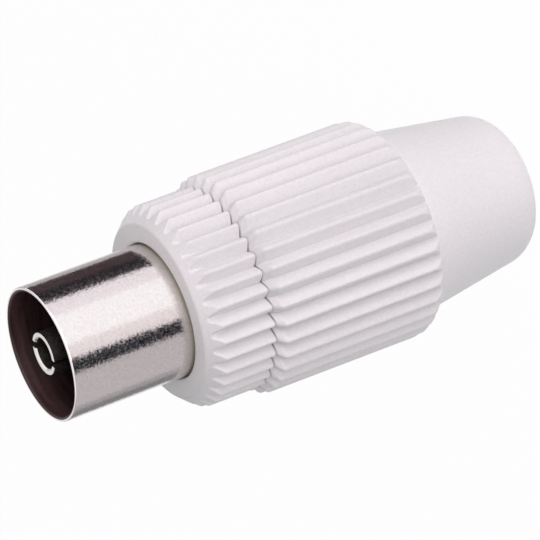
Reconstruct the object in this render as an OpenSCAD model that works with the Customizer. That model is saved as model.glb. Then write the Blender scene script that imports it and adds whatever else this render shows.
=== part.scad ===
// In-line socket of a 9.5 mm coaxial aerial coupler, standing on its cable end with the mouth up.
// Lengths are in millimetres. The axis is Z, and z = 0 is the flat end of the tail.

/* [Contact tube] */
// Outside diameter of the tube that the mating plug slides into
tube_d = 10.3; // [10:0.05:10.6]
// Wall of the tube
tube_wall = 0.35; // [0.25:0.05:0.45]
// Length of tube that stands out of the collar
tube_reach = 9.75; // [8.5:0.05:12]
// Chamfer on both edges of the tube's rim
tube_rim = 0.1; // [0.04:0.02:0.1]
// Thickness of the flange that the collar clamps
flange_t = 0.8; // [0.6:0.1:1]
// Step from the tube in to the barrel behind the flange
barrel_step = 0.25; // [0.2:0.05:0.3]
// Wall of the barrel
barrel_wall = 0.5; // [0.4:0.05:0.6]
// Length of the barrel behind the flange
barrel_len = 7.8; // [7.6:0.1:8.6]
// Diameter of the screwdriver window in the barrel
window_d = 4; // [3.8:0.1:4.4]

/* [Collar] */
// Length of the ribbed front collar
collar_len = 5.4; // [5:0.05:6]
// Thickness of the collar's end wall
collar_web = 1.5; // [1.2:0.1:1.8]
// Wall between the collar's thread and the floor of its grooves
collar_wall = 0.45; // [0.4:0.05:0.9]
// Length of the cone on the collar's front edge
collar_cone_len = 1.3; // [1:0.1:1.6]
// Slope of that cone's side
collar_cone = 41; // [35:1:44]
// Rounding between the cone and the collar's face
collar_edge_round = 0.3; // [0.1:0.05:0.4]
// Rounding of the collar's rear edge
collar_rear_round = 0.15; // [0.15:0.05:0.5]

/* [Sleeve] */
// Diameter of the sleeve's grip over its ribs
grip_d = 17; // [16.4:0.1:18]
// Length of the grip
grip_len = 13.85; // [13:0.05:16]
// Rounding of the grip's front edge
grip_front_round = 0.7; // [0.3:0.05:0.8]
// Rounding of the grip's rear edge
grip_rear_round = 0.8; // [0.4:0.05:1]
// Length of the smooth tail
tail_len = 10.95; // [10:0.05:13]
// Diameter of the tail where it meets the grip
tail_root_d = 14.4; // [14:0.1:15]
// Slope of the tail's side
tail_slope = 8.4; // [6:0.2:9]
// Rounding of the tail's end
tail_round = 2.65; // [2.2:0.05:2.7]
// Depth by which the flat end cuts into that rounding
tail_flat_cut = 0.23; // [0.15:0.01:0.4]
// Wall of the threaded neck under the thread
neck_wall = 0.75; // [0.7:0.05:1.1]
// Diameter of the largest cable that passes the tail
cable_d = 7; // [6:0.1:7.2]
// Chamfer at the cable hole's mouth
cable_lead = 0.3; // [0.1:0.05:0.35]
// Length of the cable hole, with its chamfer
cable_hole_len = 3; // [2:0.1:4]
// Height of the funnel from the cable hole to the main bore
funnel_len = 5.5; // [4:0.1:6]

/* [Ribs] */
// Number of ribs round the collar and the grip
rib_count = 36; // [24:1:40]
// Height of a rib over the groove beside it
rib_height = 0.95; // [0.3:0.05:1]
// Width of a rib's blunt tip
rib_tip = 0.2; // [0.06:0.02:0.24]
// How far the edge roundings reach outside the rib tips
rib_trim = 0.08; // [0.06:0.01:0.1]
// Plain length at the grip's rear before its grooves start
grip_margin = 0.15; // [0.1:0.05:0.4]
// Length over which the grip's grooves reach their full depth there
grip_run = 0.9; // [0.6:0.1:1.5]
// Depth below the tips at which the collar's grooves start in front
collar_drop = 0.5; // [0.4:0.05:0.7]
// Length over which the collar's grooves reach their full depth there
collar_run = 2; // [1.2:0.1:2.4]

/* [Insulator] */
// Thickness of the insulating disc
disc_len = 3; // [2.4:0.1:3.4]
// Diameter of the boss round the centre socket
boss_d = 6; // [5:0.1:7]
// Height of the boss in front of the disc
boss_len = 1; // [0.4:0.1:1.4]

/* [Centre socket] */
// Outside diameter of the slotted socket
socket_d = 3.25; // [3.2:0.05:3.6]
// Diameter of the bore that takes the mate's pin
pin_bore_d = 2.4; // [2.3:0.02:2.5]
// Depth of the pin bore
pin_bore_len = 7; // [6:0.1:7.2]
// Chamfer at the pin bore's mouth
pin_lead = 0.12; // [0.05:0.01:0.2]
// Distance from the tube's rim back to the socket's front
socket_recess = 0.2; // [0:0.05:1]
// Width of the slot that parts the socket into two fingers
slot_w = 0.55; // [0.4:0.05:0.7]
// Depth of that slot
slot_len = 5; // [4:0.1:6]
// Direction of the slot about the axis
slot_angle = 50; // [0:5:180]
// Diameter of the terminal behind the insulator
terminal_d = 4.4; // [4.2:0.1:4.6]
// Length of the terminal
terminal_len = 6.9; // [6.6:0.1:7.2]
// Diameter of the hole for the cable's inner conductor
conductor_d = 1.3; // [0.8:0.1:1.4]
// Depth of that hole
conductor_len = 5.2; // [4.8:0.1:5.6]
// Height of the terminal screw above the terminal's end
screw_height = 3; // [2.6:0.1:3.2]

/* [Terminal screw] */
// Diameter of the terminal screw's shank
terminal_screw_d = 2.5; // [2:0.1:2.6]
// Diameter of its head
terminal_head_d = 3.4; // [3.2:0.1:3.6]
// Height of its head
terminal_head_h = 1.3; // [1:0.1:1.4]
// Width of its driver slot
terminal_slot_w = 0.5; // [0.4:0.05:0.6]
// Depth of its driver slot
terminal_slot_h = 0.6; // [0.4:0.05:0.7]

/* [Cable clamp] */
// Diameter of the braid that the clamp holds
braid_d = 4.4; // [4:0.1:4.5]
// Thickness of the clamp's metal
clamp_t = 0.45; // [0.35:0.05:0.5]
// Length of trough between the ears and the barrel
clamp_stem = 2; // [1:0.1:2.5]
// Length of the strap and of the ears along the cable
strap_len = 5; // [4:0.1:5.4]
// Height of the ridges that bite the braid
bite_h = 0.2; // [0.1:0.05:0.3]
// Room between the strap's arch and a screw's head
arch_room = 0.1; // [0.06:0.01:0.15]
// Metal of an ear outside a screw's head
ear_edge = 0.25; // [0.15:0.05:0.3]
// Diameter of a clamp screw's shank
clamp_screw_d = 1.4; // [1.2:0.1:1.4]
// Diameter of its head
clamp_head_d = 1.9; // [1.8:0.05:2]
// Height of its head
clamp_head_h = 0.65; // [0.5:0.05:0.7]
// Length of its shank below the head
clamp_screw_len = 2; // [1.6:0.1:2.4]
// Width of its driver slot
clamp_slot_w = 0.3; // [0.25:0.05:0.35]
// Depth of its driver slot
clamp_slot_h = 0.3; // [0.2:0.05:0.35]

/* [Fits] */
// Gap between the collar's rear edge and the grip
seam = 0.15; // [0.1:0.05:0.3]
// Radial room of the tube in the collar's hole
collar_room = 0.1; // [0.05:0.01:0.15]
// Height of the thread that joins the collar to the neck
thread_h = 0.4; // [0.35:0.05:0.5]
// Radial room over the crests of that thread
thread_room = 0.1; // [0.05:0.05:0.15]
// Radial room round the flange inside the collar
flange_room = 0.35; // [0.25:0.05:0.4]
// Radial room round the barrel and the clamp in the sleeve's bore
barrel_room = 0.25; // [0.2:0.05:0.4]
// Radial room of a pressed or glued joint
press_room = 0.02; // [0.01:0.01:0.03]
// Radial room of a screw in its tapped hole
screw_room = 0.04; // [0.03:0.01:0.06]
// Radial room of a clamp screw in the strap
strap_hole_room = 0.1; // [0.08:0.01:0.15]
// Gap between the strap's ears and the trough's ears
ear_gap = 0.05; // [0.02:0.01:0.1]
// Gap under a screw's head
head_gap = 0.05; // [0.02:0.01:0.1]
// Gap between the terminal screw's tip and the conductor's hole
tip_gap = 0.1; // [0.05:0.05:0.2]

/* [Hidden] */

$fn = 96;
// Overrun of a cut past the face it opens
over = 1;

// Radii, from the tube outwards
tube_r = tube_d / 2;
tube_in_r = tube_r - tube_wall;
barrel_r = tube_r - barrel_step;
barrel_in_r = barrel_r - barrel_wall;
braid_r = braid_d / 2;
clamp_screw_x = braid_r + clamp_t + arch_room + clamp_head_d / 2;
ear_r = clamp_screw_x + clamp_head_d / 2 + ear_edge;
bore_r = max(barrel_r, ear_r) + barrel_room;
neck_r = bore_r + neck_wall;
thread_r = neck_r + thread_h + thread_room;
flange_r = thread_r - flange_room;
collar_r = thread_r + collar_wall + rib_height;
collar_hole_r = tube_r + collar_room;
grip_r = grip_d / 2;
cable_r = cable_d / 2;
tail_root_r = tail_root_d / 2;
socket_r = socket_d / 2;
terminal_r = terminal_d / 2;

// Levels along the axis, from the tail's end up
grip_z = tail_len;
shoulder_z = grip_z + grip_len;
collar_z = shoulder_z + seam;
collar_top_z = collar_z + collar_len;
web_z = collar_top_z - collar_web;
neck_top_z = web_z - flange_t;
mouth_z = collar_top_z + tube_reach;
barrel_z = neck_top_z - barrel_len;
socket_top_z = mouth_z - socket_recess;
pin_bore_z = socket_top_z - pin_bore_len;
terminal_z = web_z - terminal_len;
screw_z = terminal_z + screw_height;
clamp_z = barrel_z - clamp_stem - strap_len;
clamp_screw_z = clamp_z + strap_len / 2;
strap_top_y = ear_gap + clamp_t;

// The tail's end rounding touches the sloped side
tail_round_z = tail_round - tail_flat_cut;
tail_round_x =
  tail_root_r - (tail_len - tail_round_z) * tan(tail_slope) - tail_round / cos(tail_slope);
tail_flat_r = tail_round_x + sqrt(tail_round * tail_round - tail_round_z * tail_round_z);
tail_touch_x = tail_round_x + tail_round * cos(tail_slope);
tail_touch_z = tail_round_z - tail_round * sin(tail_slope);

// The collar's edge rounding touches its face and its cone
collar_edge_x = collar_r + rib_trim - collar_cone_len * tan(collar_cone)
  - collar_edge_round * (1 - sin(collar_cone)) / cos(collar_cone);
collar_edge_z = collar_top_z - collar_edge_round;
collar_touch_x = collar_edge_x + collar_edge_round * cos(collar_cone);
collar_touch_z = collar_edge_z + collar_edge_round * sin(collar_cone);

// Star-shaped section of a ribbed ring: grooves between blunt tips
module rib_section(tip_r) {
  pitch = 360 / rib_count;
  half_tip = rib_tip / tip_r * 90 / PI;
  polygon([
    for (i = [0 : rib_count - 1])
      each [
        tip_r * [cos(i * pitch - half_tip), sin(i * pitch - half_tip)],
        tip_r * [cos(i * pitch + half_tip), sin(i * pitch + half_tip)],
        (tip_r - rib_height) * [cos((i + 0.5) * pitch), sin((i + 0.5) * pitch)]
      ]
  ]);
}

// Ribbed solid from z0 to z1: its first child turns its ends, and its second fills the groove ends
module ribbed_body(tip_r, z0, z1) {
  intersection() {
    union() {
      translate([0, 0, z0])
        linear_extrude(z1 - z0)
          rib_section(tip_r);
      children(1);
    }
    rotate_extrude()
      children(0);
  }
}

// Half section of the grip over its ribs, rounded at both ends
module grip_outline() {
  r = grip_r + rib_trim;
  polygon([
    [0, grip_z],
    [r - grip_rear_round, grip_z],
    [r, grip_z + grip_rear_round],
    [r, shoulder_z - grip_front_round],
    [r - grip_front_round, shoulder_z],
    [0, shoulder_z]
  ]);
  translate([r - grip_rear_round, grip_z + grip_rear_round])
    circle(grip_rear_round);
  translate([r - grip_front_round, shoulder_z - grip_front_round])
    circle(grip_front_round);
}

// Half section of the collar over its ribs, with a rounded rear edge and a cone in front
module collar_outline() {
  r = collar_r + rib_trim;
  polygon([
    [0, collar_z],
    [r - collar_rear_round, collar_z],
    [r, collar_z + collar_rear_round],
    [r, collar_top_z - collar_cone_len],
    [collar_touch_x, collar_touch_z],
    [collar_edge_x, collar_top_z],
    [0, collar_top_z]
  ]);
  translate([r - collar_rear_round, collar_z + collar_rear_round])
    circle(collar_rear_round);
  translate([collar_edge_x, collar_edge_z])
    circle(collar_edge_round);
}

// Turned plug at the grip's rear, on whose slope the grooves run out
module grip_plug() {
  plug_r = grip_r + rib_trim;
  translate([0, 0, grip_z])
    rotate_extrude()
      polygon([
        [0, 0],
        [plug_r, 0],
        [plug_r, grip_margin],
        [grip_r - rib_height - rib_trim, grip_margin + grip_run],
        [0, grip_margin + grip_run]
      ]);
}

// Cone in the collar's front, on whose gentle slope the grooves run out
module collar_plug() {
  translate([0, 0, collar_top_z - collar_run])
    cylinder(r1 = collar_r - rib_height - rib_trim, r2 = collar_r - collar_drop, h = collar_run);
}

// Half section of the tapered tail with its rounded end
module tail_outline() {
  intersection() {
    square([grip_r, tail_len]);
    union() {
      polygon([
        [0, 0],
        [tail_flat_r, 0],
        [tail_touch_x, tail_touch_z],
        [tail_root_r, tail_len],
        [0, tail_len]
      ]);
      translate([tail_round_x, tail_round_z])
        circle(tail_round);
    }
  }
}

// Half section of the way that the cable takes through the sleeve
module cable_way() {
  polygon([
    [0, -over],
    [cable_r + cable_lead, -over],
    [cable_r + cable_lead, 0],
    [cable_r, cable_lead],
    [cable_r, cable_hole_len],
    [bore_r, cable_hole_len + funnel_len],
    [bore_r, neck_top_z + over],
    [0, neck_top_z + over]
  ]);
}

// White moulded sleeve: tail, ribbed grip and the neck that the collar screws on to
module rear_sleeve() {
  color("white")
    difference() {
      union() {
        rotate_extrude()
          tail_outline();
        ribbed_body(grip_r, grip_z, shoulder_z) {
          grip_outline();
          grip_plug();
        }
        translate([0, 0, shoulder_z])
          cylinder(r = neck_r, h = neck_top_z - shoulder_z);
      }
      rotate_extrude()
        cable_way();
    }
}

// White moulded union nut that clamps the contact tube's flange on to the neck
module front_collar() {
  color("whitesmoke")
    difference() {
      ribbed_body(collar_r, collar_z, collar_top_z) {
        collar_outline();
        collar_plug();
      }
      translate([0, 0, collar_z - over])
        cylinder(r = thread_r, h = web_z - collar_z + over);
      translate([0, 0, web_z - over])
        cylinder(r = collar_hole_r, h = collar_web + 2 * over);
    }
}

// Nickel-plated tube with its clamping flange and rear barrel
module outer_contact() {
  color("silver")
    difference() {
      rotate_extrude()
        polygon([
          [barrel_in_r, barrel_z],
          [barrel_r, barrel_z],
          [barrel_r, neck_top_z],
          [flange_r, neck_top_z],
          [flange_r, web_z],
          [tube_r, web_z],
          [tube_r, mouth_z - tube_rim],
          [tube_r - tube_rim, mouth_z],
          [tube_in_r + tube_rim, mouth_z],
          [tube_in_r, mouth_z - tube_rim],
          [tube_in_r, web_z],
          [barrel_in_r, web_z]
        ]);
      translate([0, 0, screw_z])
        rotate([0, 90, 0])
          cylinder(d = window_d, h = barrel_r + over);
    }
}

// Moulded disc that holds the centre socket in the tube
module insulator() {
  hole_r = socket_r + press_room;
  rim_r = tube_in_r - press_room;
  color("saddlebrown")
    rotate_extrude()
      polygon([
        [hole_r, web_z],
        [rim_r, web_z],
        [rim_r, web_z + disc_len],
        [boss_d / 2, web_z + disc_len],
        [boss_d / 2, web_z + disc_len + boss_len],
        [hole_r, web_z + disc_len + boss_len]
      ]);
}

// Turned centre contact: slotted socket in front, screw terminal behind
module centre_socket() {
  color("lightgray")
    difference() {
      union() {
        translate([0, 0, terminal_z])
          cylinder(d = terminal_d, h = terminal_len);
        translate([0, 0, web_z])
          cylinder(d = socket_d, h = socket_top_z - web_z);
      }
      rotate_extrude()
        polygon([
          [0, pin_bore_z],
          [pin_bore_d / 2, pin_bore_z],
          [pin_bore_d / 2, socket_top_z - pin_lead],
          [pin_bore_d / 2 + pin_lead, socket_top_z],
          [pin_bore_d / 2 + pin_lead, socket_top_z + over],
          [0, socket_top_z + over]
        ]);
      translate([0, 0, socket_top_z - slot_len])
        rotate([0, 0, slot_angle])
          translate([-socket_d, -slot_w / 2, 0])
            cube([2 * socket_d, slot_w, slot_len + over]);
      translate([0, 0, terminal_z - over])
        cylinder(d = conductor_d, h = conductor_len + over);
      translate([0, 0, screw_z])
        rotate([0, 90, 0])
          cylinder(r = terminal_screw_d / 2 + screw_room, h = terminal_r + over);
    }
}

// Slotted cheese-head screw along +Z, with the underside of its head at z = 0
module slotted_screw(shank_d, shank_len, head_d, head_h, slot_width, slot_height) {
  difference() {
    union() {
      translate([0, 0, -shank_len])
        cylinder(d = shank_d, h = shank_len);
      cylinder(d = head_d, h = head_h);
    }
    translate([-head_d, -slot_width / 2, head_h - slot_height])
      cube([2 * head_d, slot_width, slot_height + over]);
  }
}

// Screw that clamps the cable's inner conductor, reached through the barrel's window
module terminal_screw() {
  head_x = terminal_r + head_gap;
  color("gray")
    translate([head_x, 0, screw_z])
      rotate([0, 90, 0])
        slotted_screw(
          terminal_screw_d, head_x - conductor_d / 2 - tip_gap,
          terminal_head_d, terminal_head_h, terminal_slot_w, terminal_slot_h
        );
}

// Half-round saddle on the +Y side with a flat ear on each side, drilled for the screws
module saddle(trough_len, hole_room) {
  difference() {
    union() {
      intersection() {
        cylinder(r = braid_r + clamp_t, h = trough_len);
        translate([-ear_r, 0, 0])
          cube([2 * ear_r, ear_r, trough_len]);
      }
      intersection() {
        cylinder(r = ear_r, h = strap_len);
        translate([-ear_r, 0, 0])
          cube([2 * ear_r, clamp_t, strap_len]);
      }
    }
    translate([0, 0, -over])
      cylinder(r = braid_r, h = trough_len + 2 * over);
    for (side = [-1, 1])
      translate([side * clamp_screw_x, -over, strap_len / 2])
        rotate([-90, 0, 0])
          cylinder(r = clamp_screw_d / 2 + hole_room, h = clamp_t + 2 * over);
  }
}

// Trough for the cable's braid, with a disc that is pressed into the barrel
module clamp_base() {
  disc_z = barrel_z - clamp_z;
  color("silver")
    translate([0, 0, clamp_z]) {
      mirror([0, 1, 0])
        saddle(disc_z + clamp_t, screw_room);
      translate([0, 0, disc_z])
        difference() {
          cylinder(r = barrel_in_r - press_room, h = clamp_t);
          translate([0, 0, -over])
            cylinder(r = braid_r, h = clamp_t + 2 * over);
        }
    }
}

// Strap that presses the braid into the trough, with two ridges that bite it
module clamp_strap() {
  color("lightgray")
    translate([0, ear_gap, clamp_z]) {
      saddle(strap_len, strap_hole_room);
      for (z = [strap_len / 4, strap_len * 3 / 4])
        translate([0, 0, z])
          rotate_extrude(angle = 180)
            polygon([
              [braid_r, -bite_h],
              [braid_r + clamp_t / 2, -bite_h],
              [braid_r + clamp_t / 2, bite_h],
              [braid_r, bite_h],
              [braid_r - bite_h, 0]
            ]);
    }
}

// Screw of the cable clamp on one side of the cable
module clamp_screw(side) {
  color("gray")
    translate([side * clamp_screw_x, strap_top_y + head_gap, clamp_screw_z])
      rotate([-90, 0, 0])
        slotted_screw(
          clamp_screw_d, clamp_screw_len,
          clamp_head_d, clamp_head_h, clamp_slot_w, clamp_slot_h
        );
}

// Clamp screw on the -X side
module clamp_screw_left() {
  clamp_screw(-1);
}

// Clamp screw on the +X side
module clamp_screw_right() {
  clamp_screw(1);
}

rear_sleeve();
front_collar();
outer_contact();
insulator();
centre_socket();
terminal_screw();
clamp_base();
clamp_strap();
clamp_screw_left();
clamp_screw_right();
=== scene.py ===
"""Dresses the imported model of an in-line coaxial coupler.

The coupler stands on its cable end, with its axis on Z and its mouth up. Sizes are in millimetres in the
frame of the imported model, and a mesh is scaled to metres when its piece is made.
"""

from __future__ import annotations

import logging
import math
from collections.abc import Callable, Sequence
from dataclasses import dataclass
from enum import Enum

import bmesh
import bpy
from mathutils import Matrix, Vector


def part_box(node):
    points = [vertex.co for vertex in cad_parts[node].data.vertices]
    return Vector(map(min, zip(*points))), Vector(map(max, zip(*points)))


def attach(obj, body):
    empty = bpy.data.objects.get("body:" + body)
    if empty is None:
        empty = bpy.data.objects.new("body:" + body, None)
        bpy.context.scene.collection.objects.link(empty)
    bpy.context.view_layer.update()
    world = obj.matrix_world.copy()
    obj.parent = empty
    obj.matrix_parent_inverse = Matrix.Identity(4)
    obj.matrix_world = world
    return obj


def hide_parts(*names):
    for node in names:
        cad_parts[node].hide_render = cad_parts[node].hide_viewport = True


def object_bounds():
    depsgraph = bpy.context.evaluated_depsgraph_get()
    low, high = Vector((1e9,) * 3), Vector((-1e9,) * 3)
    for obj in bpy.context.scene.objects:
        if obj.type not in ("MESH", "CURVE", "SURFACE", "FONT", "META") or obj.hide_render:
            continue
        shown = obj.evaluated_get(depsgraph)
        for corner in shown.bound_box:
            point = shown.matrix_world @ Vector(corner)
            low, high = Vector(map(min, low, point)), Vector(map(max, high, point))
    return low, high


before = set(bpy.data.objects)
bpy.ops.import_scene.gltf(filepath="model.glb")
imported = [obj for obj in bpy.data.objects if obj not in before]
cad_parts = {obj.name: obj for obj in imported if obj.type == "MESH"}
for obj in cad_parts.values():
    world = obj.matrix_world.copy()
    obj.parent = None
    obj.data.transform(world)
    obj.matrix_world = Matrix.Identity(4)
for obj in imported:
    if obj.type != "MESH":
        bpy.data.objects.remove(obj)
CAD_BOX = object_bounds()

MM = 0.001
MERGE = 1e-4
ORIGIN = (0.0, 0.0, 0.0)
AXIS = (0.0, 0.0, 1.0)
WHITE = (1.0, 1.0, 1.0, 1.0)
# Numbers of the colour sockets on Blender's mix node
MIX_A, MIX_B, MIX_RESULT = 6, 7, 2
# Heights between which most of a noise pattern lies, and the middle of a cell pattern's colours
NOISE_LOW, NOISE_HIGH = 0.3, 0.7
CELL_MIDDLE = (0.5, 0.5, 0.5)
# Millimetres that a thread's root is sunk, that a fit leaves free, and that a cutter runs past
THREAD_SINK = 0.02
FIT_ROOM = 0.02
OVERRUN = 1.0
LOG = logging.getLogger("coupler")

Point = tuple[float, float]
Colour = tuple[float, float, float]


class Body(Enum):
    """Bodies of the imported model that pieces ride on."""

    SLEEVE = "rear_sleeve"
    INSERT = "insert"
    COLLAR = "front_collar"
    TERMINAL_SCREW = "terminal_screw"
    CLAMP_SCREW_LEFT = "clamp_screw_left"
    CLAMP_SCREW_RIGHT = "clamp_screw_right"


class Slot(Enum):
    """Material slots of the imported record."""

    WHITE_PLASTIC = "white_plastic"
    NICKEL = "nickel_plate"
    CONTACT = "contact_plate"
    INSULATOR = "insulator_plastic"
    SCREW = "screw_steel"
    CLAMP = "clamp_steel"


class NodeTree:
    """Thin cover over a node tree that adds nodes with their inputs set."""

    def __init__(self, tree: bpy.types.NodeTree) -> None:
        """Takes a tree and empties it."""
        self.tree = tree
        tree.nodes.clear()

    def add(
        self, kind: str, inputs: dict[str | int, object] | None = None, **settings: object
    ) -> bpy.types.Node:
        """Adds a node.

        Args:
            kind: Blender's name of the node's type.
            inputs: Values or output sockets by input name or number.
            settings: Properties of the node itself.

        Returns:
            The new node.
        """
        node = self.tree.nodes.new(kind)
        for name, value in settings.items():
            setattr(node, name, value)
        for name, value in (inputs or {}).items():
            if isinstance(value, bpy.types.NodeSocket):
                self.tree.links.new(value, node.inputs[name])
            else:
                node.inputs[name].default_value = value
        return node

    def seen_directly(self) -> bpy.types.NodeSocket:
        """Tells rays that see a surface directly or in a mirror from rays that are lit by it.

        Returns:
            The output that is 1 for camera, glossy and transmission rays, and 0 for the rest.
        """
        path = self.add("ShaderNodeLightPath").outputs
        pair = self.add(
            "ShaderNodeMath",
            {0: path["Is Camera Ray"], 1: path["Is Glossy Ray"]},
            operation="MAXIMUM",
        )
        return self.add(
            "ShaderNodeMath",
            {0: pair.outputs[0], 1: path["Is Transmission Ray"]},
            operation="MAXIMUM",
        ).outputs[0]


@dataclass(frozen=True)
class Grain:
    """Noise pattern on a surface: the size of its spots in millimetres and how it is drawn out."""

    size: float
    detail: float = 3.0
    stretch: tuple[float, float, float] = (1.0, 1.0, 1.0)

    def height(self, nodes: NodeTree) -> bpy.types.NodeSocket:
        """Adds the pattern to a material.

        Args:
            nodes: The material's nodes.

        Returns:
            The output with the pattern's height, from 0 to 1.
        """
        place = nodes.add("ShaderNodeTexCoord").outputs["Object"]
        turned = nodes.add(
            "ShaderNodeMapping", {"Vector": place, "Scale": tuple(1 / s for s in self.stretch)}
        )
        noise = nodes.add(
            "ShaderNodeTexNoise",
            {
                "Vector": turned.outputs["Vector"],
                "Scale": 1 / (self.size * MM),
                "Detail": self.detail,
            },
        )
        return noise.outputs["Fac"]


@dataclass(frozen=True)
class Facets:
    """Crystal facets of a plated surface: their size in millimetres and how far they tilt."""

    size: float
    tilt: float

    def tilted(self, nodes: NodeTree, normal: bpy.types.NodeSocket) -> bpy.types.NodeSocket:
        """Tilts a normal by a random amount in each facet.

        Args:
            nodes: The material's nodes.
            normal: Output with the normal before.

        Returns:
            The output with the tilted normal.
        """
        cells = nodes.add(
            "ShaderNodeTexVoronoi",
            {
                "Vector": nodes.add("ShaderNodeTexCoord").outputs["Object"],
                "Scale": 1 / (self.size * MM),
            },
        )
        centred = nodes.add(
            "ShaderNodeVectorMath",
            {0: cells.outputs["Color"], 1: CELL_MIDDLE},
            operation="SUBTRACT",
        )
        turned = nodes.add(
            "ShaderNodeVectorMath",
            {0: centred.outputs["Vector"], 1: (self.tilt,) * 3, 2: normal},
            operation="MULTIPLY_ADD",
        )
        return nodes.add(
            "ShaderNodeVectorMath", {0: turned.outputs["Vector"]}, operation="NORMALIZE"
        ).outputs["Vector"]


@dataclass(frozen=True)
class PaintedShade:
    """Painted shade in a band round a piece: the share of colour it leaves, its height, and how far it
    fades.
    """

    tint: Colour
    z: float
    fade: float

    def over(self, nodes: NodeTree, colour: bpy.types.NodeSocket) -> bpy.types.NodeSocket:
        """Lays the painted shade over a colour.

        Args:
            nodes: The material's nodes.
            colour: Output with the colour before.

        Returns:
            The output with the shaded colour.
        """
        place = nodes.add("ShaderNodeTexCoord").outputs["Object"]
        height = nodes.add("ShaderNodeSeparateXYZ", {"Vector": place}).outputs["Z"]
        off = nodes.add("ShaderNodeMath", {0: height, 1: self.z * MM}, operation="SUBTRACT")
        apart = nodes.add("ShaderNodeMath", {0: off.outputs[0]}, operation="ABSOLUTE")
        share = nodes.add(
            "ShaderNodeMapRange",
            {
                "Value": apart.outputs[0],
                "From Min": 0.0,
                "From Max": self.fade * MM,
                "To Min": 1.0,
                "To Max": 0.0,
            },
        )
        return nodes.add(
            "ShaderNodeMix",
            {"Factor": share.outputs["Result"], MIX_A: colour, MIX_B: (*self.tint, 1.0)},
            data_type="RGBA",
            blend_type="MULTIPLY",
        ).outputs[MIX_RESULT]


@dataclass(frozen=True)
class Finish:
    """Surface finish of one material slot.

    The tone pattern moves the colour between its dark and light shade, the gloss pattern moves the
    roughness, the pits pattern makes the relief, facets make a plated surface sparkle, and a painted
    shade darkens a band round it.
    """

    name: str
    slot: Slot
    dark: Colour
    light: Colour
    roughness: tuple[float, float]
    tone: Grain
    gloss: Grain
    pits: Grain
    relief: float
    relief_depth: float
    metallic: float = 0.0
    specular: float = 0.5
    facets: Facets | None = None
    painted_shade: PaintedShade | None = None

    def material(self) -> bpy.types.Material:
        """Makes the finish's material on its first use.

        Returns:
            The material.
        """
        made = bpy.data.materials.get(self.name)
        if made:
            return made
        made = bpy.data.materials.new(self.name)
        made.use_nodes = True
        nodes = NodeTree(made.node_tree)
        colour = nodes.add(
            "ShaderNodeMix",
            {
                "Factor": self.spread(nodes, self.tone, (0.0, 1.0)),
                MIX_A: (*self.dark, 1.0),
                MIX_B: (*self.light, 1.0),
            },
            data_type="RGBA",
        ).outputs[MIX_RESULT]
        if self.painted_shade:
            colour = self.painted_shade.over(nodes, colour)
        bump = nodes.add(
            "ShaderNodeBump",
            {
                "Strength": self.relief,
                "Distance": self.relief_depth * MM,
                "Height": self.pits.height(nodes),
            },
        )
        normal = bump.outputs["Normal"]
        if self.facets:
            normal = self.facets.tilted(nodes, normal)
        shader = nodes.add(
            "ShaderNodeBsdfPrincipled",
            {
                "Base Color": colour,
                "Metallic": self.metallic,
                "Roughness": self.spread(nodes, self.gloss, self.roughness),
                "Specular IOR Level": self.specular,
                "Normal": normal,
            },
        )
        nodes.add("ShaderNodeOutputMaterial", {"Surface": shader.outputs["BSDF"]})
        return made

    @staticmethod
    def spread(nodes: NodeTree, grain: Grain, span: Point) -> bpy.types.NodeSocket:
        """Spreads a pattern's middle heights over a span of values.

        Args:
            nodes: The material's nodes.
            grain: The pattern.
            span: Lowest and highest value.

        Returns:
            The output with the spread values.
        """
        return nodes.add(
            "ShaderNodeMapRange",
            {
                "Value": grain.height(nodes),
                "From Min": NOISE_LOW,
                "From Max": NOISE_HIGH,
                "To Min": span[0],
                "To Max": span[1],
            },
        ).outputs["Result"]


MOULDED_WHITE = Finish(
    name="satin_white_plastic",
    slot=Slot.WHITE_PLASTIC,
    dark=(0.79, 0.797, 0.815),
    light=(0.85, 0.857, 0.875),
    roughness=(0.45, 0.58),
    tone=Grain(0.2),
    gloss=Grain(0.6),
    pits=Grain(0.16, detail=4.0),
    relief=0.16,
    relief_depth=0.03,
)
DRAWN_NICKEL = Finish(
    name="drawn_nickel_plate",
    slot=Slot.NICKEL,
    dark=(0.87, 0.815, 0.825),
    light=(0.97, 0.915, 0.925),
    roughness=(0.07, 0.27),
    tone=Grain(0.2),
    gloss=Grain(0.15),
    pits=Grain(0.3),
    relief=0.1,
    relief_depth=0.02,
    metallic=1.0,
    facets=Facets(0.1, tilt=0.05),
    # Painted shade: an olive band darkens the tube where it meets the collar, for the shaded collar face
    # mirrored there
    painted_shade=PaintedShade((0.56, 0.57, 0.49), z=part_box("front_collar")[1].z / MM, fade=0.95),
)
# Painted shade: near-black copy of the nickel for the inside of the contact tube, where shade falls
SHADED_NICKEL_LINING = Finish(
    name="nickel_plate_painted_shade",
    slot=Slot.NICKEL,
    dark=(0.025, 0.011, 0.012),
    light=(0.065, 0.035, 0.037),
    roughness=(0.35, 0.5),
    tone=Grain(0.5, stretch=(8.0, 8.0, 1.0)),
    gloss=Grain(0.3),
    pits=Grain(0.2),
    relief=0.15,
    relief_depth=0.03,
    specular=0.3,
)
# Painted shade: near-black copy of the tin for the socket's sides deep in the tube; its top keeps the
# bright tin
SHADED_TIN = Finish(
    name="tin_plate_painted_shade",
    slot=Slot.CONTACT,
    dark=(0.012, 0.01, 0.01),
    light=(0.03, 0.025, 0.024),
    roughness=(0.4, 0.55),
    tone=Grain(0.3),
    gloss=Grain(0.3),
    pits=Grain(0.15),
    relief=0.15,
    relief_depth=0.02,
    specular=0.3,
)
BRIGHT_TIN = Finish(
    name="bright_tin_plate",
    slot=Slot.CONTACT,
    dark=(0.80, 0.78, 0.75),
    light=(0.88, 0.86, 0.83),
    roughness=(0.2, 0.32),
    tone=Grain(0.4),
    gloss=Grain(0.15, stretch=(1.0, 1.0, 0.3)),
    pits=Grain(0.12),
    relief=0.1,
    relief_depth=0.02,
    metallic=1.0,
)
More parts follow.
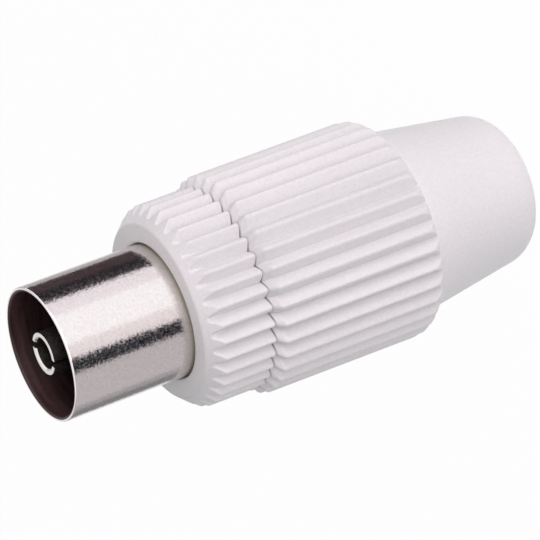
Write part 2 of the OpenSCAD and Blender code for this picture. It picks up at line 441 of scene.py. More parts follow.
BROWN_PLASTIC = Finish(
    name="dark_brown_plastic",
    slot=Slot.INSULATOR,
    dark=(0.018, 0.011, 0.010),
    light=(0.030, 0.019, 0.017),
    roughness=(0.4, 0.55),
    tone=Grain(0.8),
    gloss=Grain(0.4),
    pits=Grain(0.15),
    relief=0.15,
    relief_depth=0.03,
)
PLATED_STEEL = Finish(
    name="zinc_plated_steel",
    slot=Slot.SCREW,
    dark=(0.56, 0.56, 0.58),
    light=(0.70, 0.70, 0.71),
    roughness=(0.26, 0.4),
    tone=Grain(0.4),
    gloss=Grain(0.2),
    pits=Grain(0.1),
    relief=0.15,
    relief_depth=0.02,
    metallic=1.0,
)
PLATED_SHEET = Finish(
    name="nickel_plated_sheet",
    slot=Slot.CLAMP,
    dark=(0.62, 0.60, 0.56),
    light=(0.74, 0.72, 0.68),
    roughness=(0.24, 0.38),
    tone=Grain(0.5, stretch=(1.0, 1.0, 5.0)),
    gloss=Grain(0.2, stretch=(1.0, 1.0, 5.0)),
    pits=Grain(0.12),
    relief=0.12,
    relief_depth=0.02,
    metallic=1.0,
)


def arc(
    centre: Point, radius: float, start: float, end: float, steps: int, rise: float | None = None
) -> list[Point]:
    """Draws a round or oval stretch of a half section.

    Args:
        centre: Radius and height of the arc's centre.
        radius: Radius of the arc, or the half width of an oval one.
        start: Angle of its first point in degrees, from outwards to up.
        end: Angle of its last point.
        steps: Number of straight steps along it.
        rise: Half height of an oval arc.

    Returns:
        The points, with both ends.
    """
    rise = radius if rise is None else rise
    angles = [math.radians(start + (end - start) * i / steps) for i in range(steps + 1)]
    return [(centre[0] + radius * math.cos(a), centre[1] + rise * math.sin(a)) for a in angles]


def turned(section: Sequence[Point], steps: int) -> bmesh.types.BMesh:
    """Turns a half section about the axis.

    Args:
        section: Radii and heights. A section that starts and ends on the axis stays open there.
        steps: Number of steps round the axis.

    Returns:
        The closed shape.
    """
    bm = bmesh.new()
    verts = [bm.verts.new((r, 0.0, z)) for r, z in section]
    ends = verts[1:] if section[0][0] == section[-1][0] == 0.0 else verts[1:] + verts[:1]
    edges = [bm.edges.new(pair) for pair in zip(verts, ends)]
    bmesh.ops.spin(
        bm,
        geom=verts + edges,
        cent=ORIGIN,
        axis=AXIS,
        angle=math.tau,
        steps=steps,
        use_merge=True,
    )
    bmesh.ops.remove_doubles(bm, verts=bm.verts, dist=MERGE)
    bmesh.ops.recalc_face_normals(bm, faces=bm.faces)
    return bm


def block(size: Sequence[float], place: Matrix) -> bmesh.types.BMesh:
    """Makes a box of a size, centred on a place."""
    bm = bmesh.new()
    bmesh.ops.create_cube(bm, size=1.0, matrix=place @ Matrix.Diagonal((*size, 1.0)))
    return bm


def rod(radius: float, start: float, end: float, place: Matrix, steps: int = 64) -> bmesh.types.BMesh:
    """Makes a round rod along a place's Z axis.

    Args:
        radius: Radius of the rod.
        start: Where it starts on that axis.
        end: Where it ends.
        place: Matrix that puts the rod in place.
        steps: Number of steps round it.

    Returns:
        The rod.
    """
    bm = bmesh.new()
    bmesh.ops.create_cone(
        bm,
        cap_ends=True,
        segments=steps,
        radius1=radius,
        radius2=radius,
        depth=end - start,
        matrix=place @ Matrix.Translation((0.0, 0.0, (start + end) / 2)),
    )
    return bm


def cut(shape: bmesh.types.BMesh, cutter: bmesh.types.BMesh) -> bmesh.types.BMesh:
    """Takes a cutter's volume out of a shape.

    Args:
        shape: The shape, which is used up.
        cutter: The cutter, which is used up.

    Returns:
        What is left of the shape.
    """
    objects = []
    for name, bm in (("blank", shape), ("cutter", cutter)):
        mesh = bpy.data.meshes.new(name)
        bm.to_mesh(mesh)
        bm.free()
        objects.append(bpy.data.objects.new(name, mesh))
        bpy.context.scene.collection.objects.link(objects[-1])
    blank, tool = objects
    modifier = blank.modifiers.new("cut", "BOOLEAN")
    modifier.operation = "DIFFERENCE"
    modifier.solver = "EXACT"
    modifier.object = tool
    result = bmesh.new()
    result.from_object(blank, bpy.context.evaluated_depsgraph_get())
    for obj in objects:
        bpy.data.meshes.remove(obj.data)
    return result


def line(bm: bmesh.types.BMesh, lined: Callable[[Vector, Vector], bool]) -> bmesh.types.BMesh:
    """Marks the faces that get a piece's painted-shade lining.

    Args:
        bm: The shape.
        lined: Tells from a face's middle and its normal whether the painted-shade lining covers it.

    Returns:
        The same shape.
    """
    for face in bm.faces:
        face.material_index = int(lined(face.calc_center_median(), face.normal))
    return bm


def add_piece(
    name: str,
    bm: bmesh.types.BMesh,
    body: Body,
    finish: Finish,
    replaces: Sequence[str] = (),
    shaded_lining: Finish | None = None,
    sharp: float = 38.0,
) -> None:
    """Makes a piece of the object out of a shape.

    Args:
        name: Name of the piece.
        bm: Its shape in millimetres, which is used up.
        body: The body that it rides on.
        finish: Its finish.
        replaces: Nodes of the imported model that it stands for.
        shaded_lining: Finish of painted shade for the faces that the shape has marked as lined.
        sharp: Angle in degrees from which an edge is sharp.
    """
    bmesh.ops.scale(bm, vec=(MM, MM, MM), verts=bm.verts)
    mesh = bpy.data.meshes.new(name)
    bm.to_mesh(mesh)
    bm.free()
    mesh.shade_smooth()
    mesh.set_sharp_from_angle(angle=math.radians(sharp))
    for coat in (finish, shaded_lining):
        if coat:
            mesh.materials.append(coat.material())
    obj = bpy.data.objects.new(name, mesh)
    bpy.context.scene.collection.objects.link(obj)
    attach(obj, body.value)
    if replaces:
        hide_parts(*replaces)
    LOG.info("%s: %d faces on %s", name, len(mesh.polygons), body.value)


def dress_node(node: str, finish: Finish) -> None:
    """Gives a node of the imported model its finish."""
    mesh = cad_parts[node].data
    mesh.materials.clear()
    mesh.materials.append(finish.material())
    LOG.info("%s: keeps its solid, dressed in %s", node, finish.name)


def corners(node: str) -> tuple[Vector, Vector]:
    """Gives the lowest and highest corner of a node in millimetres."""
    low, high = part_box(node)
    return low / MM, high / MM


@dataclass(frozen=True)
class GrooveEnd:
    """Cone that grooves run out on: its height, its rise over the rib tips there, and its fall."""

    z: float
    rise: float
    slope: float


@dataclass(frozen=True)
class RibLead:
    """Cone that ribs fall in on: where they are full, where they end, its slope, and its rounding."""

    z: float
    end: float
    slope: float
    round: float

    def fall(self, z: float) -> float:
        """Gives how far the ribs lie below their full radius at a height."""
        past = min(z, self.end) - self.z
        return self.slope * (math.hypot(past, self.round) + past) / 2


@dataclass
class Ribs:
    """Moulded ribs: V grooves pressed into a turned shape, which run out short of one of its ends.

    The tip's rounding is a share of half a rib's pitch.
    """

    count: int = 36
    height: float = 0.95
    steps: int = 24
    tip_round: float = 0.36
    soften: float = 0.08

    @property
    def turn_steps(self) -> int:
        """Steps round the axis that put the same points on every rib."""
        return self.count * self.steps

    def radius(self, tip_r: float, angle: float) -> float:
        """Gives the ribs' radius in one direction.

        Args:
            tip_r: Radius over the rib tips.
            angle: Direction about the axis in radians.

        Returns:
            The radius there.
        """
        pitches = self.count * angle / math.tau
        off_tip = 2 * abs(pitches - round(pitches))
        drop = math.hypot(off_tip, self.tip_round) - self.tip_round
        return tip_r - self.height * drop / (math.hypot(1.0, self.tip_round) - self.tip_round)

    def blend(self, a: float, b: float) -> float:
        """Gives how much the corner of two surfaces is rounded off where their radii are a and b."""
        near = max(self.soften - abs(a - b), 0.0) / self.soften
        return near * near * self.soften / 4

    def press(
        self, bm: bmesh.types.BMesh, tip_r: float, end: GrooveEnd, lead: RibLead | None = None
    ) -> None:
        """Presses the grooves into a turned shape whose plain parts reach past the tips.

        Args:
            bm: The shape.
            tip_r: Radius over the rib tips.
            end: Cone that the grooves run out on.
            lead: Cone that the ribs rise on from their other end.
        """
        for vert in bm.verts:
            plain = math.hypot(vert.co.x, vert.co.y)
            ribbed = self.radius(tip_r, math.atan2(vert.co.y, vert.co.x))
            if lead:
                ribbed -= lead.fall(vert.co.z)
            stop = tip_r + end.rise - end.slope * abs(vert.co.z - end.z)
            ribbed = max(ribbed, stop) + self.blend(ribbed, stop)
            scale = (min(plain, ribbed) - self.blend(plain, ribbed)) / plain
            vert.co.x *= scale
            vert.co.y *= scale


@dataclass
class Thread:
    """One helical thread ridge, on a shank or in a bore, whose ends run out."""

    root_r: float
    crest_r: float
    pitch: float
    low: float
    high: float
    start: float = 0.0
    base_share: float = 0.62
    crest_share: float = 0.12
    turn_steps: int = 72

    def shape(self) -> bmesh.types.BMesh:
        """Winds the ridge about the axis and lets its ends run out.

        Returns:
            The ridge.
        """
        bm = bmesh.new()
        base, crest = self.base_share * self.pitch / 2, self.crest_share * self.pitch / 2
        outline = (
            (self.root_r, -base),
            (self.crest_r, -crest),
            (self.crest_r, crest),
            (self.root_r, base),
        )
        verts = [bm.verts.new((r, 0.0, self.low + base + z)) for r, z in outline]
        edges = [bm.edges.new(pair) for pair in zip(verts, verts[1:] + verts[:1])]
        bmesh.ops.rotate(
            bm, verts=verts, cent=ORIGIN, matrix=Matrix.Rotation(math.tau * self.start, 3, "Z")
        )
        turns = (self.high - self.low - 2 * base) / self.pitch
        steps = round(turns * self.turn_steps)
        bmesh.ops.spin(
            bm,
            geom=verts + edges,
            cent=ORIGIN,
            axis=AXIS,
            dvec=(0.0, 0.0, turns * self.pitch / steps),
            angle=math.tau * turns,
            steps=steps,
        )
        rims = [e for e in bm.edges if e.is_boundary]
        bmesh.ops.holes_fill(bm, edges=rims, sides=len(outline))
        bmesh.ops.recalc_face_normals(bm, faces=bm.faces)
        for vert in bm.verts:
            to_end = min(vert.co.z - self.low, self.high - vert.co.z)
            share = min(to_end / self.pitch, 1.0)
            plain = math.hypot(vert.co.x, vert.co.y)
            scale = (self.root_r + (plain - self.root_r) * max(share, 0.0)) / plain
            vert.co.x *= scale
            vert.co.y *= scale
        return bm


@dataclass
class FrontCollar:
    """White union nut that clamps the contact tube's flange on to the sleeve's neck."""

    ribs: Ribs
    thread_r: float = 6.4
    thread_crest_r: float = 6.15
    thread_pitch: float = 1.0
    thread_start: float = 0.5
    thread_end: float = 0.85
    web: float = 1.5
    hole_r: float = 5.25
    hole_round: float = 0.2
    hole_steps: int = 4
    mouth_lead: float = 0.25
    cone_len: float = 1.3
    cone_slope: float = 41.0
    edge_round: float = 0.3
    edge_steps: int = 6
    rear_round: float = 0.15
    groove_rise: float = -0.5
    groove_slope: float = 0.265
    cone_steps: int = 20
    foot_step: float = 0.5

    def __post_init__(self) -> None:
        """Takes the collar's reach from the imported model."""
        low, high = corners("front_collar")
        self.low, self.high, self.tip_r = low.z, high.z, high.x

    def section(self) -> list[Point]:
        """Draws the collar's half section with its plain outside past the rib tips.

        Returns:
            Radii and heights.
        """
        outside = self.tip_r + self.ribs.soften
        web_z = self.high - self.web
        hole = (self.hole_r + self.hole_round, self.high - self.hole_round)
        slope = math.radians(self.cone_slope)
        edge_r = (
            outside
            - self.cone_len * math.tan(slope)
            - self.edge_round * (1 - math.sin(slope)) / math.cos(slope)
        )
        edge = arc(
            (edge_r, self.high - self.edge_round), self.edge_round, 90, self.cone_slope, self.edge_steps
        )
        foot = (outside, self.high - self.cone_len)
        cone = [
            tuple(a + (b - a) * i / self.cone_steps for a, b in zip(edge[-1], foot))
            for i in range(1, self.cone_steps + 1)
        ]
        rear = (outside - self.rear_round, self.low + self.rear_round)
        return [
            (self.thread_r + self.mouth_lead, self.low),
            (self.thread_r, self.low + self.mouth_lead),
            (self.thread_r, web_z),
            (self.hole_r, web_z),
            *arc(hole, self.hole_round, 180, 90, self.hole_steps),
            *edge,
            *cone,
            (outside, foot[1] - self.foot_step),
            *arc(rear, self.rear_round, 0, -90, self.edge_steps),
        ]

    def build(self) -> None:
        """Makes the ribbed nut and its inner thread."""
        nut = turned(self.section(), self.ribs.turn_steps)
        self.ribs.press(nut, self.tip_r, GrooveEnd(self.high, self.groove_rise, self.groove_slope))
        add_piece("collar_nut", nut, Body.COLLAR, MOULDED_WHITE, ["front_collar"])
        thread = Thread(
            root_r=self.thread_r + THREAD_SINK,
            crest_r=self.thread_crest_r,
            pitch=self.thread_pitch,
            low=self.low + self.mouth_lead,
            high=self.high - self.web - self.thread_end,
            start=self.thread_start,
        )
        add_piece("collar_thread", thread.shape(), Body.COLLAR, MOULDED_WHITE)


@dataclass
class RearSleeve:
    """White sleeve: smooth tapered tail, ribbed grip and the threaded neck inside the collar."""

    ribs: Ribs
    thread_pitch: float = 1.0
    thread_foot: float = 0.4
    grip_z: float = 10.95
    shoulder_z: float = 24.8
    grip_lead: float = 0.4
    grip_lead_slope: float = 1.7
    grip_lead_round: float = 0.15
    grip_lead_steps: int = 10
    grip_full_steps: int = 4
    rim_z: float = 10.5
    rim_inset: float = 1.18
    rim_len: float = 1.5
    rim_steps: int = 20
    rim_foot: float = 0.3
    groove_rise: float = -0.75
    groove_slope: float = 1.0
    tail_root_r: float = 7.2
    tail_slope: float = 8.4
    tail_round: float = 2.65
    tail_flat_cut: float = 0.23
    tail_steps: int = 24
    root_fillet: float = 0.2
    root_steps: int = 5
    neck_r: float = 5.9
    neck_lead: float = 0.25
    thread_crest_r: float = 6.27
    bore_r: float = 5.15
    cable_r: float = 3.5
    cable_lead: float = 0.3
    cable_hole: float = 3.0
    funnel: float = 5.5

    def __post_init__(self) -> None:
        """Takes the sleeve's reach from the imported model."""
        _, high = corners("rear_sleeve")
        self.top, self.tip_r = high.z, high.x

    def section(self) -> list[Point]:
        """Draws the sleeve's half section with its plain grip past the rib tips.

        Returns:
            Radii and heights.
        """
        slope = math.radians(self.tail_slope)
        round_z = self.tail_round - self.tail_flat_cut
        round_r = (
            self.tail_root_r
            - (self.grip_z - round_z) * math.tan(slope)
            - self.tail_round / math.cos(slope)
        )
        flat_end = -math.degrees(math.asin(round_z / self.tail_round))
        outside = self.tip_r + self.ribs.soften
        root_r = self.tail_root_r - (self.grip_z - self.rim_z) * math.tan(slope)
        fillet = (root_r + self.root_fillet, self.rim_z - self.root_fillet)
        rim = (outside - self.rim_inset, self.rim_z + self.rim_len)
        lead_z = self.shoulder_z - self.grip_lead
        lead = [
            lead_z + self.grip_lead * i / self.grip_lead_steps
            for i in range(-self.grip_full_steps, self.grip_lead_steps + 1)
        ]
        return [
            (self.cable_r + self.cable_lead, 0.0),
            *arc((round_r, round_z), self.tail_round, flat_end, -self.tail_slope, self.tail_steps),
            *arc(fillet, self.root_fillet, 180, 90, self.root_steps),
            *arc(rim, self.rim_inset, -90, 0, self.rim_steps, rise=self.rim_len),
            (outside, rim[1] + self.rim_foot),
            *((outside, z) for z in lead),
            (self.neck_r, self.shoulder_z),
            (self.neck_r, self.top - self.neck_lead),
            (self.neck_r - self.neck_lead, self.top),
            (self.bore_r, self.top),
            (self.bore_r, self.cable_hole + self.funnel),
            (self.cable_r, self.cable_hole),
            (self.cable_r, self.cable_lead),
        ]

    def build(self) -> None:
        """Makes the moulded sleeve and the thread on its neck."""
        sleeve = turned(self.section(), self.ribs.turn_steps)
        self.ribs.press(
            sleeve,
            self.tip_r,
            GrooveEnd(self.rim_z, self.groove_rise, self.groove_slope),
            RibLead(
                self.shoulder_z - self.grip_lead,
                self.shoulder_z,
                self.grip_lead_slope,
                self.grip_lead_round,
            ),
        )
        add_piece("sleeve_moulding", sleeve, Body.SLEEVE, MOULDED_WHITE, ["rear_sleeve"])
        thread = Thread(
            root_r=self.neck_r - THREAD_SINK,
            crest_r=self.thread_crest_r,
            pitch=self.thread_pitch,
            low=self.shoulder_z + self.thread_foot,
            high=self.top - self.neck_lead,
        )
        add_piece("neck_thread", thread.shape(), Body.SLEEVE, MOULDED_WHITE)


@dataclass
class SlottedScrew:
    """Cheese-head screw, made along +Z with the underside of its head at the origin."""

    name: str
    node: str
    body: Body
    place: Matrix
    shank_r: float
    shank_len: float
    head_r: float
    head_h: float
    slot_w: float
    slot_h: float
    pitch: float
    edge_round: float = 0.12
    edge_steps: int = 5
    thread_depth: float = 0.16
    thread_steps: int = 36
    turn_steps: int = 64
    slot_run: float = 3.0

    def build(self) -> None:
        """Makes the screw's blank with its driver slot, and the thread on its shank."""
        core = self.shank_r - self.thread_depth
        edge = (self.head_r - self.edge_round, self.head_h - self.edge_round)
        blank = turned(
            [
                (0.0, -self.shank_len),
                (core - self.edge_round, -self.shank_len),
                (core, -self.shank_len + self.edge_round),
                (core, 0.0),
                (self.head_r, 0.0),
                *arc(edge, self.edge_round, 0, 90, self.edge_steps),
                (0.0, self.head_h),
            ],
            self.turn_steps,
        )
        slot = block(
            (self.slot_run * self.head_r, self.slot_w, 2 * self.slot_h),
            Matrix.Translation((0.0, 0.0, self.head_h)),
        )
        thread = Thread(
            root_r=core - THREAD_SINK,
            crest_r=self.shank_r,
            pitch=self.pitch,
            low=-self.shank_len + self.edge_round,
            high=-self.edge_round,
            turn_steps=self.thread_steps,
        )
        shapes = {"blank": cut(blank, slot), "thread": thread.shape()}
        for part, shape in shapes.items():
            bmesh.ops.transform(shape, matrix=self.place, verts=shape.verts)
            replaces = [self.node] if part == "blank" else []
            add_piece(f"{self.name}_{part}", shape, self.body, PLATED_STEEL, replaces)


@dataclass
class ContactInsert:
    """Metal insides: the contact tube, the insulator in it and the slotted centre socket."""

    turn_steps: int = 192
    inner_steps: int = 96
    tube_r: float = 5.15
    tube_in_r: float = 4.8
    rim_round: float = 0.1
    rim_in_round: float = 0.17
    rim_steps: int = 6
    flange: float = 0.8
    flange_round: float = 0.12
    flange_steps: int = 4
    barrel_r: float = 4.9
    barrel_in_r: float = 4.4
    window_r: float = 2.0
    disc: float = 3.0
    boss_r: float = 3.0
    boss_round: float = 0.25
    boss_steps: int = 5
    socket_r: float = 1.625
    pin_bore_r: float = 1.2
    pin_bore: float = 7.0
    pin_lead: float = 0.12
    socket_round: float = 0.05
    slot_w: float = 0.55
    slot: float = 5.0
    slot_angle: float = 50.0
    slot_run: float = 4.0
    bright_rise: float = 0.6
    conductor_r: float = 0.65
    conductor: float = 5.2
    screw_height: float = 3.0
    screw_hole_r: float = 1.29

    def __post_init__(self) -> None:
        """Takes the insert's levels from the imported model."""
        low, high = corners("outer_contact")
        self.barrel_z, self.mouth_z, self.flange_r = low.z, high.z, high.x
        low, high = corners("insulator")
        self.web_z, self.boss_z, self.disc_r = low.z, high.z, high.x
        low, high = corners("centre_socket")
        self.terminal_z, self.socket_z, self.terminal_r = low.z, high.z, high.x
        self.across = Matrix.Translation(
            (0.0, 0.0, self.terminal_z + self.screw_height)
        ) @ Matrix.Rotation(math.pi / 2, 4, "Y")

    def build(self) -> None:
        """Makes the pieces of the insert."""
        self.build_tube()
        self.build_insulator()
        self.build_socket()

    def build_tube(self) -> None:
        """Makes the drawn tube with its rolled rim, flange, rear barrel and screwdriver window."""
        flange_z = self.web_z - self.flange
        flange_edge = self.flange_r - self.flange_round
        flange_low = (flange_edge, flange_z + self.flange_round)
        flange_top = (flange_edge, self.web_z - self.flange_round)
        rim = (self.tube_r - self.rim_round, self.mouth_z - self.rim_round)
        rim_in = (self.tube_in_r + self.rim_in_round, self.mouth_z - self.rim_in_round)
        section = [
            (self.barrel_in_r, self.barrel_z),
            (self.barrel_r, self.barrel_z),
            (self.barrel_r, flange_z),
            *arc(flange_low, self.flange_round, -90, 0, self.flange_steps),
            *arc(flange_top, self.flange_round, 0, 90, self.flange_steps),
            (self.tube_r, self.web_z),
            *arc(rim, self.rim_round, 0, 90, self.rim_steps),
            *arc(rim_in, self.rim_in_round, 90, 180, self.rim_steps),
            (self.tube_in_r, self.web_z),
            (self.barrel_in_r, self.web_z),
        ]
        window = rod(self.window_r, 0.0, self.barrel_r + OVERRUN, self.across)
        # Painted shade: the tube's inward faces above the web take the near-black nickel lining
        tube = line(
            cut(turned(section, self.turn_steps), window),
            lambda middle, normal: middle.z > self.web_z and middle.xy.dot(normal.xy) < 0.0,
        )
        add_piece(
            "contact_tube", tube, Body.INSERT, DRAWN_NICKEL, ["outer_contact"], shaded_lining=SHADED_NICKEL_LINING
        )

    def build_insulator(self) -> None:
        """Makes the moulded disc with a rounded boss round the socket."""
        disc_z = self.web_z + self.disc
        hole_r = self.socket_r + FIT_ROOM
        foot = (self.boss_r + self.boss_round, disc_z + self.boss_round)
        edge = (self.boss_r - self.boss_round, self.boss_z - self.boss_round)
        section = [
            (hole_r, self.web_z),
            (self.disc_r, self.web_z),
            (self.disc_r, disc_z),
            *arc(foot, self.boss_round, 270, 180, self.boss_steps),
            *arc(edge, self.boss_round, 0, 90, self.boss_steps),
            (hole_r, self.boss_z),
        ]
        disc = turned(section, self.inner_steps)
        add_piece("insulator_disc", disc, Body.INSERT, BROWN_PLASTIC, ["insulator"])

    def build_socket(self) -> None:
        """Makes the turned socket with its two fingers and its screw terminal."""
        bore_z = self.socket_z - self.pin_bore
        edge = (self.socket_r - self.socket_round, self.socket_z - self.socket_round)
        section = [
            (0.0, bore_z),
            (self.pin_bore_r, bore_z),
            (self.pin_bore_r, self.socket_z - self.pin_lead),
            (self.pin_bore_r + self.pin_lead, self.socket_z),
            *arc(edge, self.socket_round, 90, 0, self.rim_steps),
            (self.socket_r, self.web_z),
            (self.terminal_r, self.web_z),
            (self.terminal_r, self.terminal_z),
            (self.conductor_r, self.terminal_z),
            (self.conductor_r, self.terminal_z + self.conductor),
            (0.0, self.terminal_z + self.conductor),
        ]
        slot = block(
            (self.slot_run * self.socket_r, self.slot_w, 2 * self.slot),
            Matrix.Translation((0.0, 0.0, self.socket_z))
            @ Matrix.Rotation(math.radians(self.slot_angle), 4, "Z"),
        )
        hole = rod(self.screw_hole_r, 0.0, self.terminal_r + OVERRUN, self.across)
        # Painted shade: the socket's faces above the web that do not face up the mouth take the
        # near-black tin lining
        socket = line(
            cut(cut(turned(section, self.inner_steps), slot), hole),
            lambda middle, normal: middle.z > self.web_z and normal.z < self.bright_rise,
        )
        add_piece(
            "socket_contact", socket, Body.INSERT, BRIGHT_TIN, ["centre_socket"], shaded_lining=SHADED_TIN
        )


@dataclass
class CableClamp:
    """Plated clamp inside the sleeve that holds the cable's braid."""

    screw_r: float = 0.7
    screw_len: float = 2.0
    head_h: float = 0.65
    slot_w: float = 0.3
    slot_h: float = 0.3
    pitch: float = 0.3
    thread_depth: float = 0.1
    edge_round: float = 0.08

    def build(self) -> None:
        """Dresses the trough and the strap, and makes the two screws."""
        for node in ("clamp_base", "clamp_strap"):
            dress_node(node, PLATED_SHEET)
        for body in (Body.CLAMP_SCREW_LEFT, Body.CLAMP_SCREW_RIGHT):
            low, high = corners(body.value)
            middle = (low + high) / 2
            place = Matrix.Translation((middle.x, high.y - self.head_h, middle.z))
            SlottedScrew(
                name=body.value,
                node=body.value,
                body=body,
                place=place @ Matrix.Rotation(-math.pi / 2, 4, "X"),
                shank_r=self.screw_r,
                shank_len=self.screw_len,
                head_r=(high.z - low.z) / 2,
                head_h=self.head_h,
                slot_w=self.slot_w,
                slot_h=self.slot_h,
                pitch=self.pitch,
                thread_depth=self.thread_depth,
                edge_round=self.edge_round,
            ).build()


@dataclass
class TerminalScrew:
    """Screw that clamps the cable's inner conductor, seen through the barrel's window."""

    shank_r: float = 1.25
    head_h: float = 1.3
    slot_w: float = 0.5
    slot_h: float = 0.6
    pitch: float = 0.45

    def build(self) -> None:
        """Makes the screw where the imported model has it."""
        low, high = corners("terminal_screw")
        head_x = high.x - self.head_h
        place = Matrix.Translation((head_x, 0.0, (low.z + high.z) / 2))
        SlottedScrew(
            name="terminal_screw",
            node="terminal_screw",
            body=Body.TERMINAL_SCREW,
            place=place @ Matrix.Rotation(math.pi / 2, 4, "Y"),
            shank_r=self.shank_r,
            shank_len=head_x - low.x,
            head_r=(high.z - low.z) / 2,
            head_h=self.head_h,
            slot_w=self.slot_w,
            slot_h=self.slot_h,
            pitch=self.pitch,
        ).build()


@dataclass(frozen=True)
class Card:
    """Curved card beside the coupler that only its polished metal mirrors.

    Its ends are directions about the axis in degrees, and its colour is what it shows.
    """

    name: str
    start: float
    end: float
    colour: Colour
    top: float = 42.0


@dataclass(frozen=True)
class Lamp:
    """Soft lamp: its direction about the axis and above the floor in degrees, its power and colour."""

    name: str
    turn: float
    rise: float
    watts: float
    colour: Colour = (1.0, 1.0, 1.0)
    width: float = 400.0
    height: float = 200.0
    distance: float = 600.0


@dataclass
class Studio:
    """Pale floor, soft light, cards and the photograph's camera."""

    lamps: Sequence[Lamp] = (
        Lamp("key_lamp", turn=-72.0, rise=17.0, watts=2.95, colour=(1.0, 0.88, 0.905), width=1000.0),
        Lamp("fill_lamp_low", turn=143.0, rise=0.0, watts=0.75),
        Lamp("fill_lamp_top", turn=60.0, rise=0.0, watts=0.85),
    )
    cards: Sequence[Card] = (
        Card("brown_card", start=12.0, end=42.0, colour=(0.055, 0.038, 0.042)),
        Card("dark_card_top", start=-15.0, end=12.0, colour=(0.02, 0.017, 0.02)),
        Card("blush_card_top", start=-42.0, end=-15.0, colour=(0.86, 0.82, 0.835)),
        Card("blush_card_low", start=-112.5, end=-90.0, colour=(0.82, 0.77, 0.77)),
        Card("dark_card_low", start=-135.0, end=-112.5, colour=(0.012, 0.013, 0.018)),
        Card("grey_card_low", start=-200.0, end=-135.0, colour=(0.5, 0.48, 0.48), top=85.0),
        Card("dim_card", start=-213.0, end=-200.0, colour=(0.36, 0.35, 0.355), top=85.0),
        Card("dull_card", start=-238.0, end=-213.0, colour=(0.21, 0.21, 0.215), top=85.0),
        Card("pale_card", start=-298.0, end=-238.0, colour=(0.8, 0.79, 0.79), top=85.0),
        Card("grey_card_top", start=-318.0, end=-298.0, colour=(0.47, 0.45, 0.45), top=85.0),
    )
    card_r: float = 48.0
    card_foot: float = 0.1
    card_steps: int = 24
    ambient: float = 0.28
    floor_r: float = 4000.0
    floor_steps: int = 64
    floor_glow: float = 0.97
    floor_bounce: float = 0.15
    floor_colour: Colour = (0.9, 0.9, 0.9)
    image: int = 540
    lens: float = 300.0
    sensor: float = 36.0
    sight: float = 10.0
    mouth_pixel: tuple[float, float] = (40.9, 354.9)
    mouth_distance: float = 324.5
    view_turn: float = 0.0
    axis_roll: float = -20.46
    axis_tilt: float = 24.47

    def build(self) -> None:
        """Sets the stage, the light and the camera."""
        self.set_world()
        self.add_floor()
        for card in self.cards:
            self.add_card(card)
        for lamp in self.lamps:
            self.add_lamp(lamp)
        self.add_camera()
        bpy.context.scene.view_settings.view_transform = "Standard"

    def set_world(self) -> None:
        """Makes a plain white surround that lights the object less than it shows."""
        world = bpy.data.worlds.new("studio")
        world.use_nodes = True
        nodes = NodeTree(world.node_tree)
        dim = nodes.add("ShaderNodeBackground", {"Color": WHITE, "Strength": self.ambient})
        white = nodes.add("ShaderNodeBackground", {"Color": WHITE, "Strength": 1.0})
        mix = nodes.add(
            "ShaderNodeMixShader",
            {0: nodes.seen_directly(), 1: dim.outputs[0], 2: white.outputs[0]},
        )
        nodes.add("ShaderNodeOutputWorld", {"Surface": mix.outputs[0]})
        bpy.context.scene.world = world

    def add_floor(self) -> None:
        """Lays a round pale floor that looks white, keeps the shadow and lights the object from below."""
        bm = bmesh.new()
        bmesh.ops.create_circle(bm, cap_ends=True, radius=self.floor_r, segments=self.floor_steps)
        floor = self.add_stage("floor", bm)
        material = bpy.data.materials.new("pale_floor")
        material.use_nodes = True
        nodes = NodeTree(material.node_tree)
        matt = nodes.add("ShaderNodeBsdfDiffuse", {"Color": (*self.floor_colour, 1.0)})
        glow = nodes.add("ShaderNodeEmission", {"Color": WHITE, "Strength": 1.0})
        bounce = nodes.add("ShaderNodeEmission", {"Color": WHITE, "Strength": self.floor_bounce})
        lit = nodes.add("ShaderNodeAddShader", {0: matt.outputs[0], 1: bounce.outputs[0]})
        share = nodes.add(
            "ShaderNodeMath", {0: nodes.seen_directly(), 1: self.floor_glow}, operation="MULTIPLY"
        )
        mix = nodes.add(
            "ShaderNodeMixShader", {0: share.outputs[0], 1: lit.outputs[0], 2: glow.outputs[0]}
        )
        nodes.add("ShaderNodeOutputMaterial", {"Surface": mix.outputs[0]})
        floor.data.materials.append(material)

    def add_card(self, card: Card) -> None:
        """Stands a curved card on the floor, seen only in reflections.

        Args:
            card: The card.
        """
        bm = bmesh.new()
        verts = [bm.verts.new((self.card_r, 0.0, z)) for z in (self.card_foot, card.top)]
        edge = bm.edges.new(verts)
        bmesh.ops.rotate(
            bm,
            verts=verts,
            cent=ORIGIN,
            matrix=Matrix.Rotation(math.radians(card.start), 3, "Z"),
        )
        bmesh.ops.spin(
            bm,
            geom=[*verts, edge],
            cent=ORIGIN,
            axis=AXIS,
            angle=math.radians(card.end - card.start),
            steps=self.card_steps,
        )
        stand = self.add_stage(card.name, bm)
        material = bpy.data.materials.new(card.name)
        material.use_nodes = True
        nodes = NodeTree(material.node_tree)
        glow = nodes.add("ShaderNodeEmission", {"Color": (*card.colour, 1.0), "Strength": 1.0})
        nodes.add("ShaderNodeOutputMaterial", {"Surface": glow.outputs[0]})
        stand.data.materials.append(material)
        stand.visible_camera = False
        stand.visible_diffuse = False
        stand.visible_shadow = False

    @staticmethod
    def add_stage(name: str, bm: bmesh.types.BMesh) -> bpy.types.Object:
        """Makes a stage object out of a shape.

        Args:
            name: Name of the object.
            bm: Its shape in millimetres, which is used up.

        Returns:
            The object.
        """
        bmesh.ops.scale(bm, vec=(MM, MM, MM), verts=bm.verts)
        mesh = bpy.data.meshes.new(name)
        bm.to_mesh(mesh)
        bm.free()
        obj = bpy.data.objects.new(name, mesh)
        bpy.context.scene.collection.objects.link(obj)
        return obj

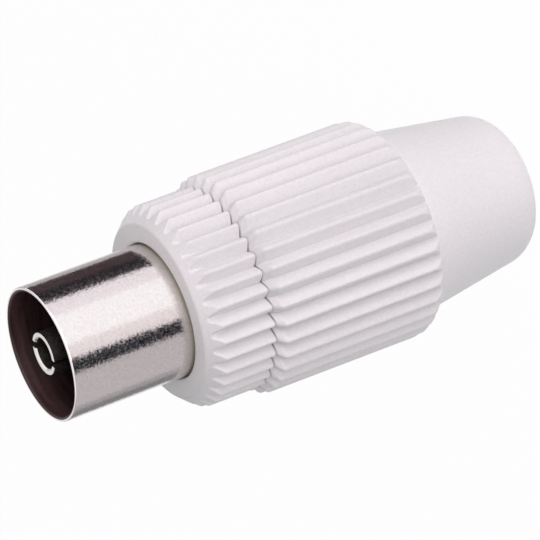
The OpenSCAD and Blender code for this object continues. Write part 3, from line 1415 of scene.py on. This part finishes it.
    def add_lamp(self, lamp: Lamp) -> None:
        """Hangs a lamp that faces the middle of the coupler.

        Args:
            lamp: The lamp.
        """
        low, high = CAD_BOX
        turn, rise = math.radians(lamp.turn), math.radians(lamp.rise)
        back = Vector(
            (math.cos(turn) * math.cos(rise), math.sin(turn) * math.cos(rise), math.sin(rise))
        )
        light = bpy.data.lights.new(lamp.name, "AREA")
        light.energy = lamp.watts
        light.color = lamp.colour
        light.shape = "RECTANGLE"
        light.size = lamp.width * MM
        light.size_y = lamp.height * MM
        obj = bpy.data.objects.new(lamp.name, light)
        obj.location = (low + high) / 2 + back * lamp.distance * MM
        obj.rotation_euler = (-back).to_track_quat("-Z", "Y").to_euler()
        obj.visible_camera = False
        bpy.context.scene.collection.objects.link(obj)

    def add_camera(self) -> None:
        """Puts the camera where the photograph's was, from the mouth's place in the picture."""
        roll, tilt, turn = (
            math.radians(a) for a in (self.axis_roll, self.axis_tilt, self.view_turn)
        )
        tail = Vector(
            (math.cos(tilt) * math.cos(roll), math.cos(tilt) * math.sin(roll), math.sin(tilt))
        )
        top = Vector((math.sin(roll), -math.cos(roll), 0.0))
        in_picture = Matrix((top, tail.cross(top), tail))
        in_frame = Matrix(
            (
                (math.cos(turn), math.sin(turn), 0.0),
                (math.sin(turn), -math.cos(turn), 0.0),
                (0.0, 0.0, -1.0),
            )
        )
        right, down, away = in_picture.transposed() @ in_frame
        pixel = self.mouth_distance * self.sensor / self.lens / self.image
        across, below = ((p - self.image / 2) * pixel for p in self.mouth_pixel)
        mouth = Vector((0.0, 0.0, CAD_BOX[1].z / MM))
        place = mouth - right * across - down * below - away * self.mouth_distance
        data = bpy.data.cameras.new("camera")
        data.lens = self.lens
        data.sensor_width = self.sensor
        data.clip_end = self.sight
        camera = bpy.data.objects.new("camera", data)
        camera.matrix_world = Matrix.Translation(place * MM) @ Matrix(
            (right, -down, -away)
        ).transposed().to_4x4()
        bpy.context.scene.collection.objects.link(camera)
        bpy.context.scene.camera = camera


def main() -> None:
    """Builds the coupler's pieces and the studio."""
    logging.basicConfig(level=logging.INFO, format="%(name)s: %(message)s")
    ribs = Ribs()
    for assembly in (
        RearSleeve(ribs),
        FrontCollar(ribs),
        ContactInsert(),
        TerminalScrew(),
        CableClamp(),
        Studio(),
    ):
        assembly.build()


if __name__ == "__main__":
    main()
